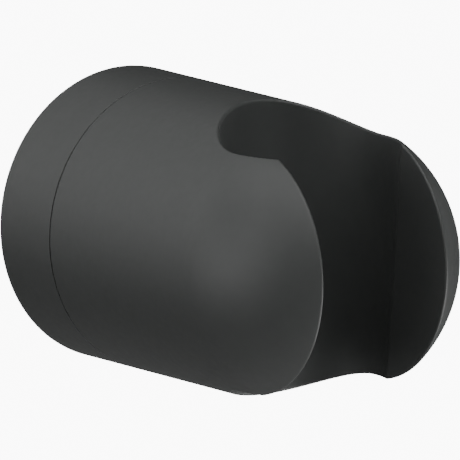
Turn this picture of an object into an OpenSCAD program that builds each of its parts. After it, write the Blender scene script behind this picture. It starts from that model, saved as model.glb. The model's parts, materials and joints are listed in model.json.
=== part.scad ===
// Wall-mounted swivel holder for a hand shower.
// X points out of the wall along the body's axis and Z points up. The origin is the centre of
// the face that meets the wall. All sizes are in millimetres.

/* [Body] */
// Diameter of the round body
body_d = 42; // [40:0.5:50]
// Distance from the wall to the swivel seam
seam_x = 12.3; // [11.8:0.1:16]
// Distance from the wall to the centre of the domed front
dome_x = 46.2; // [44:0.2:60]
// Thickness of the cast outer wall
wall_t = 3; // [2.6:0.1:3.2]
// Width of the gap at the swivel seam
seam_gap = 0.2; // [0.1:0.05:0.4]

/* [Seat] */
// Diameter of the tapered seat, level with the body's axis
seat_d = 23.8; // [22:0.1:25]
// Slope of the seat's wall from the vertical, in degrees
seat_slope = 2.8; // [1.5:0.05:3.5]
// Width of the front slot that the hose passes through
slot_w = 20.9; // [14:0.1:21]
// Thickness of the metal round the seat's wide end
seat_wall = 2.2; // [1.6:0.1:2.4]

/* [Wall fixing] */
// Distance between the two wall screws
screw_spacing = 19; // [18.5:0.5:20]
// Width of the slotted screw holes
screw_slot_w = 4.6; // [4:0.1:5]
// Length of the slotted screw holes
screw_slot_l = 7; // [6:0.1:7.5]
// Thickness of the wall bracket's plate
bracket_t = 2.6; // [2:0.1:2.8]
// Diameter of the grub screw's thread
grub_d = 4; // [3:1:4]

/* [Swivel] */
// How far the holder turns each way from upright, in degrees
swivel_limit = 45; // [20:5:45]
// Diameter of the pivot bolt's shoulder
pivot_d = 6; // [5.5:0.1:6]
// Diameter of the pivot bolt's thread
thread_d = 5; // [4:0.5:5]
// Diameter of the disc springs
spring_d = 12.5; // [11:0.5:13]
// Thickness of the disc springs
spring_t = 0.5; // [0.4:0.05:0.5]
// Diameter of the pin that limits the swivel
stop_d = 2.5; // [2:0.1:2.5]

/* [Hidden] */
$fn = 96;
hex_sides = 6;

coat = "#2c2e2f";
zinc = "#9a9c9e";
steel = "#b4b6b8";
brass = "#b5954a";
rubber = "#1b1b1c";
bearing_white = "#e6e4dc";

// Gaps: past the surface in a cut, between parts that meet, and between parts that turn
past = 1;
touch = 0.02;
film = 0.05;

body_r = body_d / 2;
hollow_r = body_r - wall_t;

// Stations along X, from the seam back to the wall
web_front = seam_x - seam_gap / 2;
web_t = 3.5;
web_back = web_front - web_t;
flange_t = 1;
bush_back = web_back - flange_t;
washer_t = 0.8;
washer_back = bush_back - film - washer_t;
spring_h = 0.75;
springs_back = washer_back - 2 * spring_h;
bolt_head_h = 2;
bolt_back = springs_back - bolt_head_h;

// Wall bracket, and the sleeve that slides over it
sleeve_r = body_r - 3.6;
bracket_r = sleeve_r - 0.2;
rim_t = 2.6;
rim_front = web_back - 1;
groove_x = (bracket_t + rim_front) / 2;
groove_depth = 1.3;
groove_half_w = 1.6;
gasket_t = 0.8;
gasket_w = 2.2;
gasket_r = bracket_r - 1.2;

// Grub screw, from just inside the sleeve's surface to the groove in the bracket's rim
grub_outer = body_r - 0.4;
grub_tip_h = 1;
grub_tip_r = 0.7;
grub_socket_d = 2.3;
grub_socket_h = 1.8;

// Pivot
pivot_r = pivot_d / 2;
bush_wall = 1.5;
bush_flange_r = 7;
bolt_head_d = 9;
bolt_socket_d = 4.6;
bolt_socket_h = 1.3;
key_flat = pivot_r - 0.5;
key_washer_r = 6.5;
shoulder_depth = 1.5;
shoulder_end = seam_x + seam_gap / 2 + shoulder_depth;
thread_l = 8;

// Friction ring and seam seal, each in a groove in the web's front
friction_r = 11;
friction_w = 3.6;
friction_depth = 1.3;
seal_cord_r = 0.65;
seam_seal_r = body_r - 1.5;
seal_groove_w = 1.5;
seal_groove_depth = 1.3;

// Swivel plate
plate_back = seam_x + seam_gap / 2;
plate_t = 3.5;
plate_front = plate_back + plate_t;
plate_r = hollow_r - 0.1;
plate_cord_r = 0.7;
plate_groove_w = 1.5;
plate_groove_depth = 1.35;
boss_r = 6.6;
boss_front = plate_front + 7;
insert_r = 3.6;
insert_flange_r = 4.6;
insert_flange_t = 0.8;

// Screws, stop pin and dowel, round one circle. Angles run from +Y towards +Z.
fixing_r = hollow_r - 3.6;
plate_screw_angles = [90, 195, 345];
plate_screw_d = 3;
plate_screw_head_d = 5.6;
plate_screw_head_h = 1.5;
plate_screw_l = 11;
plate_screw_socket_d = 2.3;
plate_screw_sunk = 0.3;
screw_post_r = 3.2;
screw_post_l = 11;
stop_angle = 270;
stop_back = web_front - 2.7;
stop_front = plate_back + 2.4;
stop_slot_floor = plate_back + 2.8;
stop_slot_side = 0.25;
stop_slot_angle = swivel_limit + 0.5;
dowel_angle = 142;
dowel_d = 2.5;
dowel_front = plate_front + 5;
dowel_post_r = 2.6;
dowel_post_l = 6.5;
// Thickness of the webs that join the posts to the outer wall
post_web_t = 3;

// Seat and slot
seat_slope_ratio = tan(seat_slope);
seat_top_r = seat_d / 2 + body_r * seat_slope_ratio;
seat_cut_h = body_r + past;
core_r = seat_top_r + seat_wall;
core_side = core_r - 0.4;

// Turns a shape drawn about Z so that it lies about X, with its bottom towards the wall.
module along_x() {
    rotate([0, 90, 0]) children();
}

// Places a shape drawn about X on the circle of radius r, at an angle from +Y towards +Z.
module on_circle(angle, r) {
    translate([0, r * cos(angle), r * sin(angle)]) children();
}

module rod_x(from, to, r, sides = 96) {
    translate([from, 0, 0]) along_x() cylinder(h = to - from, r = r, $fn = sides);
}

module tube_x(from, to, r_out, r_in) {
    difference() {
        rod_x(from, to, r_out);
        rod_x(from - past, to + past, r_in);
    }
}

// An O-ring about X
module o_ring(x, r, cord_r) {
    translate([x, 0, 0]) along_x() rotate_extrude() translate([r, 0]) circle(cord_r, $fn = 32);
}

// A cylinder with a domed front, closed by a flat back
module domed_rod(from, r) {
    along_x() rotate_extrude() {
        translate([0, from]) square([r, dome_x - from]);
        translate([0, dome_x]) intersection() {
            circle(r);
            square(r);
        }
    }
}

// A disc spring about X; rise is how far its outer edge lies in front of its inner edge
module disc_spring(x, rise) {
    inner = pivot_r + 0.1;
    outer = spring_d / 2;
    back = x + max(0, -rise);
    translate([back, 0, 0]) along_x() rotate_extrude() polygon([
        [inner, 0], [outer, rise], [outer, rise + spring_t], [inner, spring_t]
    ]);
}

module wall_screw_slot(y) {
    run = (screw_slot_l - screw_slot_w) / 2;
    translate([-past, 0, 0]) along_x() linear_extrude(bracket_t + 2 * past) {
        translate([0, y - run]) circle(d = screw_slot_w);
        translate([0, y + run]) circle(d = screw_slot_w);
        translate([-screw_slot_w / 2, y - run]) square([screw_slot_w, 2 * run]);
    }
}

module wall_bracket() {
    color(zinc) difference() {
        rod_x(0, rim_front, bracket_r);
        rod_x(bracket_t, rim_front + past, bracket_r - rim_t);
        tube_x(-past, gasket_t, gasket_r, gasket_r - gasket_w);
        along_x() rotate_extrude() polygon([
            [bracket_r + past, groove_x - groove_half_w],
            [bracket_r, groove_x - groove_half_w],
            [bracket_r - groove_depth, groove_x],
            [bracket_r, groove_x + groove_half_w],
            [bracket_r + past, groove_x + groove_half_w]
        ]);
        wall_screw_slot(-screw_spacing / 2);
        wall_screw_slot(screw_spacing / 2);
    }
}

module wall_gasket() {
    color(rubber) tube_x(0, gasket_t, gasket_r - touch, gasket_r - gasket_w + touch);
}

module base_sleeve() {
    color(coat) difference() {
        rod_x(0, web_front, body_r);
        rod_x(-past, web_back, sleeve_r);
        rod_x(web_back - past, web_front + past, pivot_r + film + bush_wall);
        tube_x(web_front - friction_depth, web_front + past, friction_r, friction_r - friction_w);
        tube_x(
            web_front - seal_groove_depth, web_front + past,
            seam_seal_r + seal_groove_w / 2, seam_seal_r - seal_groove_w / 2
        );
        on_circle(stop_angle, fixing_r) rod_x(stop_back, web_front + past, stop_d / 2);
        translate([groove_x, 0, -body_r - past])
            cylinder(h = body_r - sleeve_r + 2 * past, d = grub_d);
    }
}

module grub_screw() {
    tip_z = bracket_r - groove_depth + 0.75;
    shank = grub_outer - tip_z - grub_tip_h;
    color(steel) translate([groove_x, 0, -grub_outer]) difference() {
        union() {
            cylinder(h = shank, d = grub_d - 2 * touch);
            translate([0, 0, shank])
                cylinder(h = grub_tip_h, r1 = grub_d / 2 - touch, r2 = grub_tip_r);
        }
        translate([0, 0, -past])
            cylinder(h = grub_socket_h + past, d = grub_socket_d, $fn = hex_sides);
    }
}

module pivot_bush() {
    color(bearing_white) difference() {
        union() {
            rod_x(bush_back, web_back, bush_flange_r);
            rod_x(web_back, web_front, pivot_r + film + bush_wall - touch);
        }
        rod_x(bush_back - past, web_front + past, pivot_r + film);
    }
}

module friction_ring() {
    color(rubber) tube_x(
        web_front - friction_depth, plate_back - film,
        friction_r - film, friction_r - friction_w + film
    );
}

module seam_seal() {
    color(rubber) o_ring(plate_back - film - seal_cord_r, seam_seal_r, seal_cord_r);
}

module stop_pin() {
    color(steel) on_circle(stop_angle, fixing_r) rod_x(stop_back, stop_front, stop_d / 2 - touch / 2);
}

// The space that a hand shower's tapered nut and its hose take: the seat and the front slot
module seat_and_slot() {
    translate([dome_x, 0, -seat_cut_h]) cylinder(
        h = 2 * seat_cut_h,
        r1 = seat_d / 2 - seat_cut_h * seat_slope_ratio,
        r2 = seat_d / 2 + seat_cut_h * seat_slope_ratio
    );
    translate([dome_x, -slot_w / 2, -seat_cut_h])
        cube([body_r + past, slot_w, 2 * seat_cut_h]);
}

// The metal left round the seat and slot, straight-sided so that the casting's core draws out
module seat_core() {
    translate([dome_x, 0, -body_r]) linear_extrude(2 * body_r) {
        circle(core_r);
        translate([0, -core_side]) square([body_r, 2 * core_side]);
    }
}

// A post inside the casting, with a web that joins it to the outer wall
module casting_post(angle, l, r) {
    rotate([angle, 0, 0]) translate([plate_front, fixing_r, 0]) along_x() linear_extrude(l) {
        circle(r);
        translate([-post_web_t / 2, 0]) square([post_web_t, hollow_r + wall_t / 2 - fixing_r]);
    }
}

// The posts that the plate's screws and dowel go into
module casting_posts() {
    for (angle = plate_screw_angles) casting_post(angle, screw_post_l, screw_post_r);
    casting_post(dowel_angle, dowel_post_l, dowel_post_r);
}

module holder_body() {
    color(coat) difference() {
        domed_rod(plate_back, body_r);
        difference() {
            domed_rod(plate_back - past, hollow_r);
            seat_core();
            casting_posts();
        }
        seat_and_slot();
        for (angle = plate_screw_angles)
            on_circle(angle, fixing_r)
                rod_x(plate_front - past, plate_front + screw_post_l - 1, plate_screw_d / 2);
        on_circle(dowel_angle, fixing_r) rod_x(plate_front - past, dowel_front, dowel_d / 2);
    }
}

// The curved slot in the swivel plate that the stop pin runs in
module stop_slot() {
    half_w = stop_d / 2 + stop_slot_side;
    translate([plate_back - past, 0, 0]) along_x() linear_extrude(stop_slot_floor - plate_back + past) {
        intersection() {
            difference() {
                circle(fixing_r + half_w);
                circle(fixing_r - half_w);
            }
            polygon([
                [0, 0],
                body_r * [cos(stop_slot_angle), -sin(stop_slot_angle)],
                body_r * [2, -1],
                body_r * [2, 1],
                body_r * [cos(stop_slot_angle), sin(stop_slot_angle)]
            ]);
        }
        for (side = [-1, 1])
            rotate(side * stop_slot_angle) translate([fixing_r, 0]) circle(half_w);
    }
}

module swivel_plate() {
    color(zinc) difference() {
        union() {
            rod_x(plate_back, plate_front, plate_r);
            rod_x(plate_front, boss_front, boss_r);
        }
        rod_x(plate_back - past, shoulder_end, pivot_r + touch);
        rod_x(shoulder_end - touch, boss_front + past, insert_r);
        rod_x(boss_front - insert_flange_t, boss_front + past, insert_flange_r);
        tube_x(
            (plate_back + plate_front - plate_groove_w) / 2,
            (plate_back + plate_front + plate_groove_w) / 2,
            plate_r + past, plate_r - plate_groove_depth
        );
        stop_slot();
        for (angle = plate_screw_angles) on_circle(angle, fixing_r) {
            rod_x(plate_back - past, plate_front + past, plate_screw_d / 2 + 0.1);
            plate_screw_head(0.1, past);
        }
        on_circle(dowel_angle, fixing_r) rod_x(plate_front - 2, plate_front + past, dowel_d / 2);
    }
}

// A countersunk head, its flat just under the plate's back; grow widens it and back lengthens it
module plate_screw_head(grow, back) {
    head_back = plate_back + plate_screw_sunk;
    head_front = head_back + plate_screw_head_h;
    rod_x(head_back - back, head_back + touch, plate_screw_head_d / 2 + grow);
    translate([head_back, 0, 0]) along_x() cylinder(
        h = head_front - head_back,
        r1 = plate_screw_head_d / 2 + grow,
        r2 = plate_screw_d / 2 + grow
    );
}

module plate_seal() {
    color(rubber) o_ring(
        (plate_back + plate_front) / 2, hollow_r - touch - plate_cord_r, plate_cord_r
    );
}

module plate_screws() {
    head_back = plate_back + plate_screw_sunk;
    color(steel) for (angle = plate_screw_angles) on_circle(angle, fixing_r) difference() {
        union() {
            plate_screw_head(0, 0);
            rod_x(head_back + 0.5, head_back + plate_screw_l, plate_screw_d / 2 - touch);
        }
        rod_x(head_back - past, head_back + 1.1, plate_screw_socket_d / 2, hex_sides);
    }
}

module locating_dowel() {
    color(steel) on_circle(dowel_angle, fixing_r)
        rod_x(plate_front - 2 + touch, dowel_front - 0.2, dowel_d / 2 - touch / 2);
}

module threaded_insert() {
    color(brass) difference() {
        union() {
            rod_x(shoulder_end + touch, boss_front, insert_r - touch);
            rod_x(boss_front - insert_flange_t + touch, boss_front, insert_flange_r - touch);
        }
        rod_x(shoulder_end - past, boss_front + past, thread_d / 2);
    }
}

module pivot_bolt() {
    flats_front = bush_back - film;
    color(steel) difference() {
        union() {
            rod_x(bolt_back, springs_back, bolt_head_d / 2);
            rod_x(springs_back, shoulder_end - touch, pivot_r);
            rod_x(shoulder_end - touch, shoulder_end + thread_l, thread_d / 2 - touch);
        }
        rod_x(bolt_back - past, bolt_back + bolt_socket_h, bolt_socket_d / 2, hex_sides);
        for (side = [-1, 1])
            translate([springs_back + touch, side > 0 ? key_flat : -key_flat - past, -pivot_r - past])
                cube([flats_front - springs_back - touch, past, 2 * (pivot_r + past)]);
    }
}

module key_washer() {
    color(steel) difference() {
        rod_x(washer_back + touch, bush_back - film, key_washer_r);
        intersection() {
            rod_x(washer_back - past, bush_back + past, pivot_r + touch);
            translate([washer_back - past, -key_flat - touch, -body_r])
                cube([washer_t + 3 * past, 2 * (key_flat + touch), body_d]);
        }
    }
}

module disc_spring_rear() {
    color(steel) disc_spring(springs_back + touch / 2, spring_h - spring_t - touch);
}

module disc_spring_front() {
    color(steel) disc_spring(springs_back + spring_h + touch / 2, spring_t - spring_h + touch);
}

wall_bracket();
wall_gasket();
base_sleeve();
grub_screw();
pivot_bush();
friction_ring();
seam_seal();
stop_pin();
holder_body();
swivel_plate();
plate_seal();
plate_screws();
locating_dowel();
threaded_insert();
pivot_bolt();
key_washer();
disc_spring_rear();
disc_spring_front();
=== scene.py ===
"""A wall-mounted swivel holder for a hand shower, in matt black powder coat.

Each piece is drawn as a distance field, in mm, and meshed where the field is zero. Its edges are
rounded in the field, so that the castings, seals and screws have the fillets of the real ones. The
places of the pieces come from the frame, and the sizes that it doesn't give are listed below."""

import json
import math

import bpy
import numpy as np
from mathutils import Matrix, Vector

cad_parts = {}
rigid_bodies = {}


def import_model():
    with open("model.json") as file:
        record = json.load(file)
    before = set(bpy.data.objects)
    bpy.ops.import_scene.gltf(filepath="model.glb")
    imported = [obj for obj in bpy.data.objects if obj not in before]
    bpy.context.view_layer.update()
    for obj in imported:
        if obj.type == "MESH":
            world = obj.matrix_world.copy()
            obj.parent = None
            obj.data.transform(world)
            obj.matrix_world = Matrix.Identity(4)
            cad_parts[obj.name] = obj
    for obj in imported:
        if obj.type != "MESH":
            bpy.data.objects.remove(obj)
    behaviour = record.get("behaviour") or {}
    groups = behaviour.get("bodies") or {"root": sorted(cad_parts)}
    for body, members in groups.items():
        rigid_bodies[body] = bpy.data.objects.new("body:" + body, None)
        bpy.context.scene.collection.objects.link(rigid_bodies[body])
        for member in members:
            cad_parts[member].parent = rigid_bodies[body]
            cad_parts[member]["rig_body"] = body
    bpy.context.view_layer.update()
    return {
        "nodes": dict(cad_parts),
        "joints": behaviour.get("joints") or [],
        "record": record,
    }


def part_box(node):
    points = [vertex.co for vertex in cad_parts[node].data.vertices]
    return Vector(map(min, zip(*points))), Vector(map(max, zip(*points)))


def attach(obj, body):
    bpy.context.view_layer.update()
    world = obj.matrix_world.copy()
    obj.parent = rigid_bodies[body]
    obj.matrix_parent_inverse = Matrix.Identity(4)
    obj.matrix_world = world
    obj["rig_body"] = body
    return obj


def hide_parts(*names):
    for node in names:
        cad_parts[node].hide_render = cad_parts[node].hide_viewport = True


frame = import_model()

MM = 0.001

# ------------------------------------------------------------------ sizes in mm, from the frame


def span(node):
    """Lowest and highest corners of a CAD node, in mm."""
    low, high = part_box(node)
    return np.array(low) / MM, np.array(high) / MM


holder_low, holder_high = span("holder_body")
sleeve_low, sleeve_high = span("base_sleeve")
bracket_low, bracket_high = span("wall_bracket")
gasket_low, gasket_high = span("wall_gasket")
grub_low, grub_high = span("grub_screw")
bush_low, bush_high = span("pivot_bush")
friction_low, friction_high = span("friction_ring")
seam_low, seam_high = span("seam_seal")
pin_low, pin_high = span("stop_pin")
plate_low, plate_high = span("swivel_plate")
plate_seal_low, plate_seal_high = span("plate_seal")
screws_low, screws_high = span("plate_screws")
dowel_low, dowel_high = span("locating_dowel")
insert_low, insert_high = span("threaded_insert")
bolt_low, bolt_high = span("pivot_bolt")
washer_low, washer_high = span("key_washer")
seat_mount = next(m for m in frame["record"]["mounts"] if m["name"] == "handset_seat")
screw_mount = next(m for m in frame["record"]["mounts"] if m["name"] == "wall_screws")

body_r = -holder_low[1]
dome_x = seat_mount["pos_m"][0] / MM
slot_half = math.sqrt(body_r**2 - (holder_high[0] - dome_x) ** 2)
seat_r = 11.9
seat_rise = math.tan(math.radians(2.8))
wall_t = 3
seat_wall_t = 2.2
hollow_r = body_r - wall_t
core_r = seat_r + body_r * seat_rise + seat_wall_t
core_side = core_r - 0.4
rim_r = 0.45
crease_r = 0.1
seam_rim_r = 0.04

web_t = 3.5
web_front = sleeve_high[0]
web_back = web_front - web_t
sleeve_t = 3.6
sleeve_r = body_r - sleeve_t
groove_x = (grub_low[0] + grub_high[0]) / 2
bracket_r = -bracket_low[1]
bracket_t = 2.6
bracket_rim_t = 2.6
pivot_r = 3
film = 0.05
bush_t = 1.5
bush_bore_r = pivot_r + film + bush_t
plate_t = 3.5
plate_front = plate_low[0] + plate_t
fixing_r = hollow_r - 3.6
screw_post_r = 3.2
screw_post_length = 11
dowel_post_r = 2.6
dowel_post_length = 6.5
post_web_half = 1.5
tapped_r = 1.5
tapped_depth = 10
clearance_r = 1.6
insert_hole_r = 3.6
flange_hole_r = 4.6
flange_t = 0.8
boss_r = 6.6
friction_w = 3.5
gasket_w = 2.16
seam_inset = 1.5
seal_groove_t = 1.3
seal_groove_w = 1.5
grub_hole_r = 2
pin_r = 1.24
pin_hole_r = 1.25
screw_head_r = 2.8
small_key_r = 1.15
bolt_key_r = 2.3
fine_pitch = 0.5
set_pitch = 0.7
bolt_pitch = 0.8
KNURLS = 36
KNURL_PITCH = 0.9
SCREW_ANGLES = (90, 195, 345)
STOP_ANGLE = 270
DOWEL_ANGLE = 142
SWIVEL = frame["joints"][0]["range_deg"][1]

# ------------------------------------------------------------------ distance fields
# A field gives each point's signed distance to a surface: below 0 inside the material.


def both(a, b, r=0.0):
    """What is in a and in b, with the edge between them rounded to radius r."""
    if r == 0:
        return np.maximum(a, b)
    return np.minimum(np.maximum(a, b), -r) + np.hypot(np.maximum(a + r, 0), np.maximum(b + r, 0))


def either(a, b, r=0.0):
    """What is in a or in b, with the corner between them filled to radius r."""
    return -both(-a, -b, r)


def without(a, b, r=0.0):
    """What is in a and not in b, with the new edge rounded to radius r."""
    return both(a, -b, r)


def ring(x, r, x0, x1, r0, r1, edge=0.1):
    """A ring about X from x0 to x1 and from radius r0 to r1, with rounded edges."""
    along = np.abs(x - (x0 + x1) / 2) - (x1 - x0) / 2 + edge
    across = np.abs(r - (r0 + r1) / 2) - (r1 - r0) / 2 + edge
    inside = np.minimum(np.maximum(along, across), 0)
    return np.hypot(np.maximum(along, 0), np.maximum(across, 0)) + inside - edge


def rod(x, r, x0, x1, radius, edge=0.1):
    """A rod about X with rounded ends."""
    return ring(x, r, x0, x1, -radius, radius, edge)


def hexagon(a, b, corner_r):
    """A hexagon with two of its corners on the a axis."""
    across = math.cos(math.pi / 6)
    return np.maximum(np.abs(b), np.abs(a) * across + np.abs(b) / 2) - corner_r * across


def turned(y, z, angle):
    """Radius-wise and crosswise coordinates at an angle in degrees from +Y towards +Z."""
    c, s = math.cos(math.radians(angle)), math.sin(math.radians(angle))
    return y * c + z * s, z * c - y * s


def off_axis(y, z, angle):
    """Distance from the line along X that crosses the fixing circle at an angle."""
    out, side = turned(y, z, angle)
    return np.hypot(out - fixing_r, side)


def thread(along, a, b, pitch, depth):
    """How far a thread's groove cuts in, round an axis whose cross plane is a, b."""
    turn = along / pitch - np.arctan2(b, a) / (2 * math.pi)
    return depth * (1 - 2 * np.abs(turn - np.floor(turn) - 0.5))


def domed_rod(x, y, z, r):
    return np.hypot(np.hypot(np.maximum(x - dome_x, 0), y), z) - r


def seat_and_slot(x, y, z):
    """The space of the tapered seat and of the slot in front of it."""
    cone = (np.hypot(x - dome_x, y) - seat_r - z * seat_rise) / math.hypot(1, seat_rise)
    slot = np.maximum(np.abs(y) - slot_half, dome_x - x)
    return either(cone, slot, crease_r)


def casting_posts(x, y, z):
    """The posts inside the casting for the plate's screws and dowel, with their webs."""
    posts = np.full_like(x, 99.0)
    places = [(angle, screw_post_r, screw_post_length) for angle in SCREW_ANGLES]
    places.append((DOWEL_ANGLE, dowel_post_r, dowel_post_length))
    for angle, radius, length in places:
        out, side = turned(y, z, angle)
        web = np.maximum(np.abs(side) - post_web_half, fixing_r - out)
        post = either(off_axis(y, z, angle) - radius, web, 0.5)
        ends = np.maximum(x - plate_front - length, plate_front - x)
        posts = np.minimum(posts, both(post, ends, 0.3))
    return posts


def holder_body(x, y, z):
    outside = both(domed_rod(x, y, z, body_r), holder_low[0] - x, seam_rim_r)
    skin = without(outside, seat_and_slot(x, y, z), rim_r)
    core = np.where(x > dome_x, np.abs(y) - core_side, np.hypot(x - dome_x, y) - core_r)
    hollow = without(domed_rod(x, y, z, hollow_r), core, 1.0)
    hollow = without(hollow, casting_posts(x, y, z), 0.4)
    solid = without(skin, hollow, 0.15)
    for angle in SCREW_ANGLES:
        hole = off_axis(y, z, angle)
        tapped = rod(x, hole, plate_front - 1, plate_front + tapped_depth, tapped_r)
        solid = without(solid, tapped, 0.1)
    hole = off_axis(y, z, DOWEL_ANGLE)
    return without(solid, rod(x, hole, plate_front - 1, dowel_high[0] + 0.2, pin_hole_r), 0.1)


def base_sleeve(x, y, z):
    r = np.hypot(y, z)
    solid = both(r - body_r, sleeve_low[0] - x, 0.1)
    solid = both(solid, x - web_front, seam_rim_r)
    solid = without(solid, rod(x, r, -2, web_back, sleeve_r, 0.5), 0.25)
    solid = without(solid, r - bush_bore_r, 0.1)
    outer = friction_high[1] + film
    groove = ring(x, r, friction_low[0], web_front + 2, outer - friction_w - 2 * film, outer)
    solid = without(solid, groove, 0.1)
    cord_r = (seam_high[0] - seam_low[0]) / 2
    seal_r = (seam_high[1] - cord_r + body_r - seam_inset) / 2  # the mean of two readings of it
    inner, outer = seal_r - seal_groove_w / 2, seal_r + seal_groove_w / 2
    groove = ring(x, r, web_front - seal_groove_t, web_front + 2, inner, outer, 0.2)
    solid = without(solid, groove, 0.1)
    pin_hole = rod(x, off_axis(y, z, STOP_ANGLE), pin_low[0], web_front + 1, pin_hole_r)
    solid = without(solid, pin_hole, 0.1)
    grub = np.maximum(np.hypot(x - groove_x, y) - grub_hole_r, z)
    return without(solid, grub, 0.25)


def wall_bracket(x, y, z):
    r = np.hypot(y, z)
    solid = rod(x, r, 0, bracket_high[0], bracket_r, 0.3)
    inside = rod(x, r, bracket_t, bracket_high[0] + 3, bracket_r - bracket_rim_t, 0.6)
    solid = without(solid, inside, 0.3)
    gasket_r = gasket_high[1] + 0.02
    solid = without(solid, ring(x, r, -2, gasket_high[0], gasket_r - 2.2, gasket_r, 0.15), 0.15)
    half_w, depth = 1.6, 1.3
    groove = np.abs(x - groove_x) / half_w * depth + (bracket_r - depth) - r
    solid = without(solid, groove / math.hypot(1, depth / half_w), 0.15)
    dims = screw_mount["dims"]
    half_run = dims["slot_length_mm"] / 2 - dims["hole_r_mm"]
    for side in (-1, 1):
        run = np.maximum(np.abs(y - side * dims["spacing_x_mm"] / 2) - half_run, 0)
        hole = np.hypot(run, z) - dims["hole_r_mm"]
        solid = without(solid, hole, 0.35)
    return solid


def wall_gasket(x, y, z):
    r = np.hypot(y, z)
    outer = gasket_high[1]
    gasket = ring(x, r, gasket_low[0], gasket_high[0], outer - gasket_w, outer, 0.2)
    bead = np.hypot(x, r - outer + gasket_w / 2) - 0.35
    return without(gasket, bead, 0.1)


def grub_screw(x, y, z):
    a, b, down = x - groove_x, y, -z
    r = np.hypot(a, b)
    cut = thread(z, a, b, set_pitch, 0.3)
    solid = rod(down, r + cut, -grub_high[2], -grub_low[2], 1.97, 0.25)
    cone = (r - 0.7 - (down + grub_high[2])) / math.sqrt(2)
    socket = np.maximum(hexagon(a, b, small_key_r), -grub_low[2] - 1.8 - down)
    return without(both(solid, cone, 0.1), socket, 0.06)


def pivot_bush(x, y, z):
    r = np.hypot(y, z)
    flange = rod(x, r, bush_low[0], web_back, bush_high[1], 0.15)
    tube = rod(x, r, bush_low[0], bush_high[0], bush_bore_r - 0.02, 0.15)
    return without(np.minimum(flange, tube), r - pivot_r - film, 0.15)


def friction_ring(x, y, z):
    r = np.hypot(y, z)
    outer = friction_high[1]
    solid = ring(x, r, friction_low[0], friction_high[0], outer - friction_w, outer, 0.2)
    for angle in range(0, 180, 30):
        _, side = turned(y, z, angle)
        solid = without(solid, np.maximum(np.abs(side) - 0.3, friction_high[0] - 0.3 - x), 0.1)
    return solid


def o_ring(low, high):
    cord_r = (high[0] - low[0]) / 2

    def field(x, y, z):
        return np.hypot(x - low[0] - cord_r, np.hypot(y, z) - high[1] + cord_r) - cord_r

    return field


def pin(low, high, angle):
    def field(x, y, z):
        return rod(x, off_axis(y, z, angle), low[0], high[0], pin_r, 0.25)

    return field


def stop_slot(x, y, z):
    """The curved slot in the swivel plate that the stop pin runs in."""
    half_w = 1.5
    out, side = turned(y, z, STOP_ANGLE)
    bearing = np.arctan2(side, out)
    reach = math.radians(SWIVEL + 0.5)
    near = np.clip(bearing, -reach, reach)
    path = np.hypot(out - fixing_r * np.cos(near), side - fixing_r * np.sin(near)) - half_w
    return np.maximum(path, x - plate_low[0] - 2.8)


def screw_head(x, r, grow):
    back = plate_low[0] + 0.3
    slope = 1.3 / 1.5
    cone = (r - screw_head_r - grow + (x - back) * slope) / math.hypot(1, slope)
    return np.maximum(cone, r - screw_head_r - grow)


def swivel_plate(x, y, z):
    r = np.hypot(y, z)
    solid = rod(x, r, plate_low[0], plate_front, plate_high[1], 0.15)
    boss = rod(x, r, plate_low[0] + 1, plate_high[0], boss_r, 0.4)
    solid = either(solid, boss, 0.8)
    solid = without(solid, r - pivot_r - 0.02, 0.15)
    solid = without(solid, np.maximum(r - insert_hole_r, insert_low[0] - x), 0.05)
    solid = without(solid, np.maximum(r - flange_hole_r, plate_high[0] - flange_t - x), 0.1)
    middle = (plate_low[0] + plate_front) / 2
    bottom = plate_high[1] - seal_groove_t
    groove = np.maximum(np.abs(x - middle) - seal_groove_w / 2, bottom - r)
    solid = without(solid, groove, 0.12)
    solid = without(solid, stop_slot(x, y, z), 0.15)
    for angle in SCREW_ANGLES:
        hole = off_axis(y, z, angle)
        sunk = np.minimum(hole - clearance_r, screw_head(x, hole, 0.1))
        solid = without(solid, sunk, 0.08)
    hole = off_axis(y, z, DOWEL_ANGLE)
    return without(solid, np.maximum(hole - pin_hole_r, dowel_low[0] - x), 0.08)


def plate_screws(x, y, z):
    screws = np.full_like(x, 99.0)
    for angle in SCREW_ANGLES:
        out, side = turned(y, z, angle)
        out = out - fixing_r
        r = np.hypot(out, side)
        head = np.maximum(screw_head(x, r, 0), screws_low[0] - x)
        cut = thread(x, out, side, fine_pitch, 0.22)
        shank = rod(x, r + cut, screws_low[0], screws_high[0], 1.48, 0.3)
        socket = np.maximum(hexagon(out, side, small_key_r), x - screws_low[0] - 1.1)
        screw = both(np.minimum(head, shank), screws_low[0] - x, 0.08)
        screws = np.minimum(screws, without(screw, socket, 0.05))
    return screws


def threaded_insert(x, y, z):
    r = np.hypot(y, z)
    turn = np.arctan2(z, y) * KNURLS / 2
    slant = math.pi * x / KNURL_PITCH
    knurl = 0.14 * (np.abs(np.sin(turn + slant)) + np.abs(np.sin(turn - slant)))
    tube = rod(x, r + 0.28 - knurl, insert_low[0], insert_high[0], 3.56, 0.2)
    neck = rod(x, r, insert_low[0] + 3.2, insert_low[0] + 4.2, 3.3, 0.1)
    tube = np.where(np.abs(x - insert_low[0] - 3.7) < 0.5, np.maximum(tube, neck), tube)
    flange = rod(x, r, insert_high[0] - 0.78, insert_high[0], insert_high[1], 0.1)
    solid = np.minimum(tube, flange)
    return without(solid, r - 2.5 + thread(x, y, z, bolt_pitch, 0.25) - 0.25, 0.1)


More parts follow.
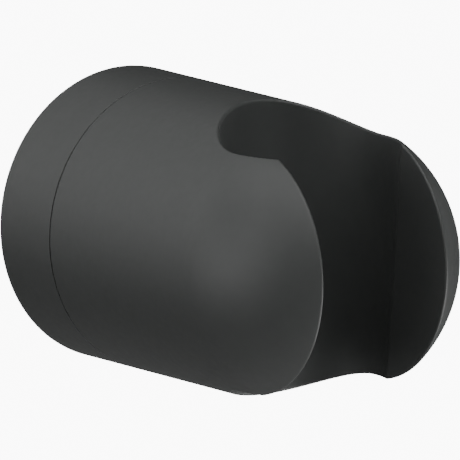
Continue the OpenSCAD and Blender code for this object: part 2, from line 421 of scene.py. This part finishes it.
def pivot_bolt(x, y, z):
    r = np.hypot(y, z)
    head_front = bolt_low[0] + 2
    shoulder_end = bolt_high[0] - 8
    head = rod(x, r, bolt_low[0], head_front, bolt_high[1], 0.25)
    shoulder = rod(x, r, head_front - 1, shoulder_end - 0.02, pivot_r, 0.15)
    keyed = np.maximum(head_front + 0.02 - x, x - washer_high[0])
    shoulder = without(shoulder, np.maximum(keyed, pivot_r - 0.5 - np.abs(y)))
    cut = thread(x, y, z, bolt_pitch, 0.3)
    shank = rod(x, r + cut, shoulder_end - 1, bolt_high[0], 2.45, 0.4)
    socket = np.maximum(hexagon(y, z, bolt_key_r), x - bolt_low[0] - 1.3)
    return without(np.minimum(np.minimum(head, shoulder), shank), socket, 0.12)


def key_washer(x, y, z):
    r = np.hypot(y, z)
    solid = rod(x, r, washer_low[0], washer_high[0], washer_high[1], 0.12)
    return without(solid, np.maximum(r - pivot_r - 0.02, np.abs(y) - pivot_r + 0.48), 0.05)


def disc_spring(node):
    """A disc spring: the band between its inner and its outer edge, flat or dished."""
    low, high = span(node)
    inner_r, outer_r = pivot_r + 0.1, high[1]
    half_t = 0.25
    rear = node == "disc_spring_rear"

    def field(x, y, z):
        r = np.hypot(y, z)
        rise = high[0] - low[0] - 2 * half_t
        share = np.clip((r - inner_r) / (outer_r - inner_r), 0, 1)
        middle = low[0] + rise * (share if rear else 1 - share) + half_t
        band = np.abs(r - (outer_r + inner_r) / 2) - (outer_r - inner_r) / 2
        return both(np.abs(x - middle) - half_t, band, 0.12)

    return field


# ------------------------------------------------------------------ meshes from fields

STEP_SCALE = 1.0
HOLD = 0.04  # how firmly a point is held to the middle of its cell's crossings
INSET = 0.12  # how far inside its face a corner's normal is read, as a share


def slope_of(field, points, reach=0.02):
    """The field's unit gradient at each point."""
    slope = np.empty_like(points)
    for k in range(3):
        offset = np.zeros(3)
        offset[k] = reach
        slope[:, k] = field(*(points + offset).T) - field(*(points - offset).T)
    return slope / np.maximum(np.linalg.norm(slope, axis=1, keepdims=True), 1e-9)


def crossings(d, axis):
    """Grid edges along an axis that the surface crosses, and how far along each it does."""
    near = d[tuple(slice(None, -1) if k == axis else slice(1, -1) for k in range(3))]
    far = d[tuple(slice(1, None) if k == axis else slice(1, -1) for k in range(3))]
    at = np.argwhere((near < 0) != (far < 0))
    a, b = near[tuple(at.T)], far[tuple(at.T)]
    at = at + [0 if k == axis else 1 for k in range(3)]
    return at, a / (a - b), a < 0


def settled(field, points, step):
    """The points moved onto the zero level of a field, each by less than a step."""
    for _ in range(3):
        pull = field(*points.T)[:, None] * slope_of(field, points)
        points = points - np.clip(pull, -step / 3, step / 3)
    return points


def net(field, low, high, step):
    """Points and quads on the zero level of a field, one point in each grid cell that it crosses.

    A point is where the tangent planes at its cell's crossings meet, so edges stay sharp."""
    axes = [np.arange(a - 1.5 * step, b + 2.5 * step, step) for a, b in zip(low, high)]
    corner = np.array([a[0] for a in axes])
    d = field(*np.meshgrid(*axes, indexing="ij"))
    cells = np.array(d.shape) - 1
    places, owners = [], []
    for k in range(3):
        i, j = np.eye(3, dtype=int)[(k + 1) % 3], np.eye(3, dtype=int)[(k + 2) % 3]
        at, share, leaving = crossings(d, k)
        place = corner + step * (at + share[:, None] * np.eye(3)[k])
        around = [np.ravel_multi_index(tuple((at - o).T), cells) for o in (0 * i, i, i + j, j)]
        around = np.stack(around, axis=1)
        around[~leaving] = around[~leaving][:, ::-1]
        places.append(place)
        owners.append(around)
    place, quads = np.concatenate(places), np.concatenate(owners)
    used, index = np.unique(quads, return_inverse=True)
    quads = index.reshape(-1, 4)
    owner, place = quads.T.ravel(), np.tile(place, (4, 1))
    normal = np.tile(slope_of(field, place[: len(quads)]), (4, 1))
    count = np.bincount(owner)
    mean = np.stack([np.bincount(owner, place[:, k]) / count for k in range(3)], axis=1)
    lever = np.sum(normal * (place - mean[owner]), axis=1)
    left = np.empty((len(used), 3, 3))
    right = np.empty((len(used), 3, 1))
    for k in range(3):
        right[:, k, 0] = np.bincount(owner, normal[:, k] * lever)
        for m in range(3):
            left[:, k, m] = np.bincount(owner, normal[:, k] * normal[:, m])
    left += HOLD * np.eye(3)
    points = mean + np.linalg.solve(left, right)[:, :, 0]
    first = corner + step * np.stack(np.unravel_index(used, cells), axis=1)
    points = np.clip(points, first, first + step)
    return settled(field, points, step), quads


def thinned(points, quads, most_faces):
    """The net in about that many triangles, the smallest where it bends most."""
    mesh = bpy.data.meshes.new("net")
    mesh.from_pydata(points.tolist(), [], quads.tolist())
    whole = bpy.data.objects.new("net", mesh)
    bpy.context.scene.collection.objects.link(whole)
    modifier = whole.modifiers.new("thin", "DECIMATE")
    modifier.ratio = most_faces / (2 * len(quads))
    modifier.use_collapse_triangulate = True
    thin = whole.evaluated_get(bpy.context.evaluated_depsgraph_get()).to_mesh()
    places = np.empty(3 * len(thin.vertices))
    thin.vertices.foreach_get("co", places)
    corners = np.empty(len(thin.loops), dtype=np.int32)
    thin.loops.foreach_get("vertex_index", corners)
    bpy.data.objects.remove(whole)
    bpy.data.meshes.remove(mesh)
    return places.reshape(-1, 3), corners.reshape(-1, 3)


def corner_normals(field, points, faces):
    """Each face corner's normal, read just inside the face so that edges stay crisp."""
    centre = points[faces].mean(axis=1, keepdims=True)
    inner = points[faces] + INSET * (centre - points[faces])
    return slope_of(field, inner.reshape(-1, 3))


def piece(node, field, step, most_faces):
    """Meshes a field over its CAD node, which it replaces, and gives it the node's body and slot."""
    low, high = span(node)
    step = step * STEP_SCALE
    points, faces = net(field, low, high, step)
    if 2 * len(faces) > most_faces:
        points, faces = thinned(points, faces, most_faces)
        points = settled(field, points, step)
    mesh = bpy.data.meshes.new(node + "_piece")
    mesh.from_pydata((points * MM).tolist(), [], faces.tolist())
    mesh.shade_smooth()
    mesh.normals_split_custom_set(corner_normals(field, points, faces).tolist())
    obj = bpy.data.objects.new(node + "_piece", mesh)
    bpy.context.scene.collection.objects.link(obj)
    material_slot = slots[node]
    mesh.materials.append(MATERIALS[material_slot])
    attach(obj, frame["nodes"][node]["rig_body"])
    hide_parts(node)
    return obj


# ------------------------------------------------------------------ materials


class Nodes:
    """A material's node tree, with short calls for the nodes used here."""

    def __init__(self, name):
        self.material = bpy.data.materials.new(name)
        self.material.use_nodes = True
        self.tree = self.material.node_tree
        self.shader = self.tree.nodes["Principled BSDF"]
        self.place = self.tree.nodes.new("ShaderNodeTexCoord").outputs["Object"]

    def link(self, source, target):
        self.tree.links.new(source, target)

    def noise(self, size, detail=3.0, stretch=(1, 1, 1)):
        """Noise whose lumps are about size mm across."""
        mapping = self.tree.nodes.new("ShaderNodeMapping")
        mapping.inputs["Scale"].default_value = [s / (size * MM) for s in stretch]
        self.link(self.place, mapping.inputs["Vector"])
        noise = self.tree.nodes.new("ShaderNodeTexNoise")
        noise.inputs["Scale"].default_value = 1
        noise.inputs["Detail"].default_value = detail
        noise.inputs["Roughness"].default_value = 0.55
        self.link(mapping.outputs["Vector"], noise.inputs["Vector"])
        return noise.outputs["Fac"]

    def ramp(self, value, low, high):
        """Maps noise, which is mostly from 0.3 to 0.7, to a number or colour from low to high."""
        ramp = self.tree.nodes.new("ShaderNodeValToRGB")
        for stop, place, end in zip(ramp.color_ramp.elements, (0.3, 0.7), (low, high)):
            stop.position = place
            stop.color = (*end, 1) if isinstance(end, tuple) else (end, end, end, 1)
        self.link(value, ramp.inputs["Fac"])
        return ramp.outputs["Color"]

    def bumps(self, layers):
        """Bump from (value, height in mm) pairs, one on top of the other."""
        last = None
        for value, height in layers:
            bump = self.tree.nodes.new("ShaderNodeBump")
            bump.inputs["Distance"].default_value = height * MM
            self.link(value, bump.inputs["Height"])
            if last is not None:
                self.link(last, bump.inputs["Normal"])
            last = bump.outputs["Normal"]
        self.link(last, self.shader.inputs["Normal"])


def powder_coat():
    """Matt black powder coat: a fine orange peel, slightly uneven in gloss."""
    m = Nodes("black_coat")
    dark, light = (0.0235, 0.0255, 0.0245), (0.0255, 0.0275, 0.0265)
    m.link(m.ramp(m.noise(3.0), dark, light), m.shader.inputs["Base Color"])
    m.link(m.ramp(m.noise(1.1, 4), 0.52, 0.57), m.shader.inputs["Roughness"])
    m.bumps([(m.noise(0.9, 2), 0.005), (m.noise(0.16, 3), 0.003)])
    return m.material


def cast_zinc():
    """Tumbled zinc casting."""
    m = Nodes("zinc")
    m.shader.inputs["Metallic"].default_value = 1.0
    dark, light = (0.42, 0.43, 0.44), (0.56, 0.57, 0.58)
    m.link(m.ramp(m.noise(2.2), dark, light), m.shader.inputs["Base Color"])
    m.link(m.ramp(m.noise(0.7, 5), 0.38, 0.6), m.shader.inputs["Roughness"])
    m.bumps([(m.noise(1.2, 3), 0.02), (m.noise(0.2, 3), 0.01)])
    return m.material


def machined(name, dark, light, rough_low, rough_high):
    """Turned metal, with fine rings round the X axis."""
    m = Nodes(name)
    m.shader.inputs["Metallic"].default_value = 1.0
    m.link(m.ramp(m.noise(1.5), dark, light), m.shader.inputs["Base Color"])
    rings = m.noise(0.12, 2, stretch=(1, 0.03, 0.03))
    m.link(m.ramp(rings, rough_low, rough_high), m.shader.inputs["Roughness"])
    m.bumps([(rings, 0.004)])
    return m.material


def moulded(name, dark, light, rough_low, rough_high):
    """Moulded plastic or rubber, with a fine texture from the tool."""
    m = Nodes(name)
    m.link(m.ramp(m.noise(2.5), dark, light), m.shader.inputs["Base Color"])
    m.link(m.ramp(m.noise(0.5, 4), rough_low, rough_high), m.shader.inputs["Roughness"])
    m.bumps([(m.noise(0.12, 3), 0.006)])
    return m.material


MATERIALS = {
    "black_coat": powder_coat(),
    "zinc": cast_zinc(),
    "stainless": machined("stainless", (0.5, 0.5, 0.49), (0.62, 0.62, 0.61), 0.22, 0.38),
    "brass": machined("brass", (0.62, 0.44, 0.16), (0.75, 0.56, 0.24), 0.25, 0.42),
    "bearing_plastic": moulded("bearing_plastic", (0.74, 0.73, 0.69), (0.83, 0.82, 0.78), 0.4, 0.5),
    "black_rubber": moulded("black_rubber", (0.014, 0.014, 0.014), (0.022, 0.022, 0.022), 0.6, 0.75),
}
slots = {s["node"]: s["material_slot"] for s in frame["record"]["subparts"]}

# ------------------------------------------------------------------ pieces

PIECES = [  # node, field, step in mm and most faces
    ("holder_body", holder_body, 0.26, 140000),
    ("base_sleeve", base_sleeve, 0.22, 110000),
    ("wall_bracket", wall_bracket, 0.16, 90000),
    ("wall_gasket", wall_gasket, 0.2, 30000),
    ("grub_screw", grub_screw, 0.07, 30000),
    ("pivot_bush", pivot_bush, 0.15, 30000),
    ("friction_ring", friction_ring, 0.15, 40000),
    ("seam_seal", o_ring(seam_low, seam_high), 0.2, 30000),
    ("stop_pin", pin(pin_low, pin_high, STOP_ANGLE), 0.12, 10000),
    ("swivel_plate", swivel_plate, 0.22, 70000),
    ("plate_seal", o_ring(plate_seal_low, plate_seal_high), 0.2, 30000),
    ("plate_screws", plate_screws, 0.12, 60000),
    ("locating_dowel", pin(dowel_low, dowel_high, DOWEL_ANGLE), 0.12, 10000),
    ("threaded_insert", threaded_insert, 0.1, 60000),
    ("pivot_bolt", pivot_bolt, 0.12, 60000),
    ("key_washer", key_washer, 0.12, 20000),
    ("disc_spring_rear", disc_spring("disc_spring_rear"), 0.12, 20000),
    ("disc_spring_front", disc_spring("disc_spring_front"), 0.12, 20000),
]
for node, field, step, most_faces in PIECES:
    piece(node, field, step, most_faces)

# ------------------------------------------------------------------ stage, light and camera

CAMERA_AZIMUTH = 54.76
CAMERA_ELEVATION = 10.4
CAMERA_DISTANCE = 3.1
AIM = Vector((26.66, 0, 1.32)) * MM
VIEW_WIDTH = 64.84 * MM
FLOOR_Z = -1.3
FLOOR_HALF = 2.0
PALE = (0.9, 0.9, 0.9, 1)
BACKING = 10.0
FILL = 0.02
LIGHT_DISTANCE = 1.2
LIGHT_SIZE = 0.8

# Where each softbox stands (azimuth and elevation in degrees) and its power in watts
SOFTBOXES = {
    "front": (0, 0, 5.1),
    "front_left": (330, 0, 2.9),
    "left": (300, 20, 2.8),
    "upper_front": (15, 30, 3.2),
    "upper_left": (270, 45, 1.5),
    "upper_right": (90, 45, 6.9),
    "high_front": (340, 60, 5.0),
    "high_right": (90, 70, 7.5),
    "lower_right": (120, -30, 14.0),
    "lower_rear": (150, -30, 6.3),
    "rear": (180, 15, 1.0),
}


def direction(azimuth, elevation):
    """A unit vector from the object towards a place; azimuth 0 is -Y and 90 is +X."""
    a, e = math.radians(azimuth), math.radians(elevation)
    return Vector((math.sin(a) * math.cos(e), -math.cos(a) * math.cos(e), math.sin(e)))


def aimed(obj, position, target):
    obj.location = position
    obj.rotation_mode = "QUATERNION"
    obj.rotation_quaternion = (target - position).to_track_quat("-Z", "Y")
    bpy.context.scene.collection.objects.link(obj)
    return obj


def mixed(tree, factor, first, second):
    """Output of a shader that is first where factor is 0 and second where it is 1."""
    mix = tree.nodes.new("ShaderNodeMixShader")
    for source, target in ((factor, "Fac"), (first, 1), (second, 2)):
        tree.links.new(source, mix.inputs[target])
    return mix.outputs["Shader"]


def white_backing(tree, lit):
    """Output of a shader that looks plain white, and lights the object as lit does."""
    path = tree.nodes.new("ShaderNodeLightPath")
    white = tree.nodes.new("ShaderNodeEmission")
    white.inputs["Strength"].default_value = BACKING
    return mixed(tree, path.outputs["Is Camera Ray"], lit, white.outputs["Emission"])


def add_floor():
    """A pale floor far below, which doesn't hide the object from below."""
    material = bpy.data.materials.new("pale_floor")
    material.use_nodes = True
    tree = material.node_tree
    shader = tree.nodes["Principled BSDF"]
    shader.inputs["Base Color"].default_value = PALE
    shader.inputs["Roughness"].default_value = 0.9
    side = tree.nodes.new("ShaderNodeNewGeometry")
    clear = tree.nodes.new("ShaderNodeBsdfTransparent")
    top = white_backing(tree, shader.outputs["BSDF"])
    seen = mixed(tree, side.outputs["Backfacing"], top, clear.outputs["BSDF"])
    tree.links.new(seen, tree.nodes["Material Output"].inputs["Surface"])
    mesh = bpy.data.meshes.new("floor")
    sides = ((-1, -1), (1, -1), (1, 1), (-1, 1))
    corners = [(x * FLOOR_HALF, y * FLOOR_HALF, FLOOR_Z) for x, y in sides]
    mesh.from_pydata(corners, [], [(0, 1, 2, 3)])
    mesh.materials.append(material)
    floor = bpy.data.objects.new("floor", mesh)
    bpy.context.scene.collection.objects.link(floor)


def add_world():
    world = bpy.data.worlds.new("studio")
    bpy.context.scene.world = world
    world.use_nodes = True
    tree = world.node_tree
    background = tree.nodes["Background"]
    background.inputs["Color"].default_value = (1, 1, 1, 1)
    background.inputs["Strength"].default_value = FILL
    seen = white_backing(tree, background.outputs["Background"])
    tree.links.new(seen, tree.nodes["World Output"].inputs["Surface"])


def add_softboxes():
    centre = Vector((holder_high[0] / 2, 0, 0)) * MM
    for name, (azimuth, elevation, power) in SOFTBOXES.items():
        light = bpy.data.lights.new(name, "AREA")
        light.shape = "DISK"
        light.size = LIGHT_SIZE
        light.energy = power
        place = centre + direction(azimuth, elevation) * LIGHT_DISTANCE
        aimed(bpy.data.objects.new(name, light), place, centre).visible_camera = False


def add_camera():
    camera = bpy.data.cameras.new("camera")
    camera.sensor_width = 36
    camera.lens = camera.sensor_width * CAMERA_DISTANCE / VIEW_WIDTH
    camera.clip_start = 0.1
    camera.clip_end = 30
    place = AIM + direction(CAMERA_AZIMUTH, CAMERA_ELEVATION) * CAMERA_DISTANCE
    bpy.context.scene.camera = aimed(bpy.data.objects.new("camera", camera), place, AIM)


add_floor()
add_world()
add_softboxes()
add_camera()
